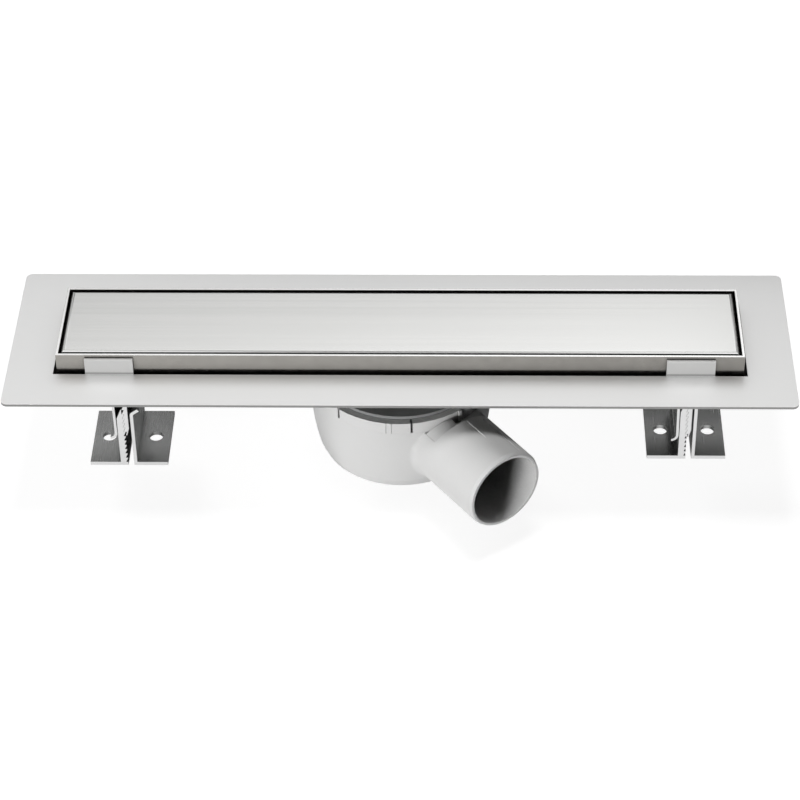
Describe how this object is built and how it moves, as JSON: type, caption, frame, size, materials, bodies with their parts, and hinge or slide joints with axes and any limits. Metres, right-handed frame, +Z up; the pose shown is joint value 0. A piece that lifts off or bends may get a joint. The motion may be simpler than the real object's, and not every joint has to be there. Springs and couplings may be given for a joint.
{
  "type": "linear shower drain",
  "caption": "Long steel floor drain: wide tiling flange, raised cover in a frame, swivelling water trap with a side outlet below, and feet that ratchet up and down.",
  "frame": {"origin": "middle of the drain's opening, on the tiling flange's top face", "axes": "+X along the drain, +Y across it away from the outlet's side at rest, +Z up out of the floor"},
  "size_m": [0.46, 0.1605, 0.0917],
  "materials": {
    "flange_steel": "matte",
    "trough_steel": "matte",
    "frame_steel": "brushed",
    "cover_steel": "brushed lengthways",
    "clip_aluminium": "extruded",
    "fastener_steel": "plain",
    "trap_plastic": "smooth moulded",
    "lid_plastic": "smooth moulded",
    "ring_plastic": "smooth moulded",
    "strainer_plastic": "smooth moulded",
    "seal_rubber": "soft"
  },
  "bodies": {
    "drain": {"flange_sheet": "flange_steel", "trough": "trough_steel", "cover_frame": "frame_steel", "cover_plate": "cover_steel", "outlet_ring": "ring_plastic", "outlet_gasket": "seal_rubber", "hair_strainer": "strainer_plastic", "dip_tube": "ring_plastic", "dip_tube_gasket": "seal_rubber", "trap_lid": "lid_plastic", "lid_seal_ring": "seal_rubber", "hanger_studs": "fastener_steel", "hanger_nuts": "fastener_steel", "hanger_left": "clip_aluminium", "hanger_right": "clip_aluminium"},
    "foot_left": {"foot_left": "clip_aluminium"},
    "foot_right": {"foot_right": "clip_aluminium"},
    "trap": {"trap_bowl": "trap_plastic"}
  },
  "joints": [
    {"name": "foot_left_slide", "type": "slide", "parent": "drain", "child": "foot_left", "axis": [0, 0, 1], "range_m": [-0.0136, 0.0102]},
    {"name": "foot_right_slide", "type": "slide", "parent": "drain", "child": "foot_right", "axis": [0, 0, 1], "range_m": [-0.0204, 0.0034]},
    {"name": "trap_swivel", "type": "hinge", "parent": "drain", "child": "trap", "pos_m": [0, 0, -0.021], "axis": [0, 0, 1], "continuous": true}
  ]
}
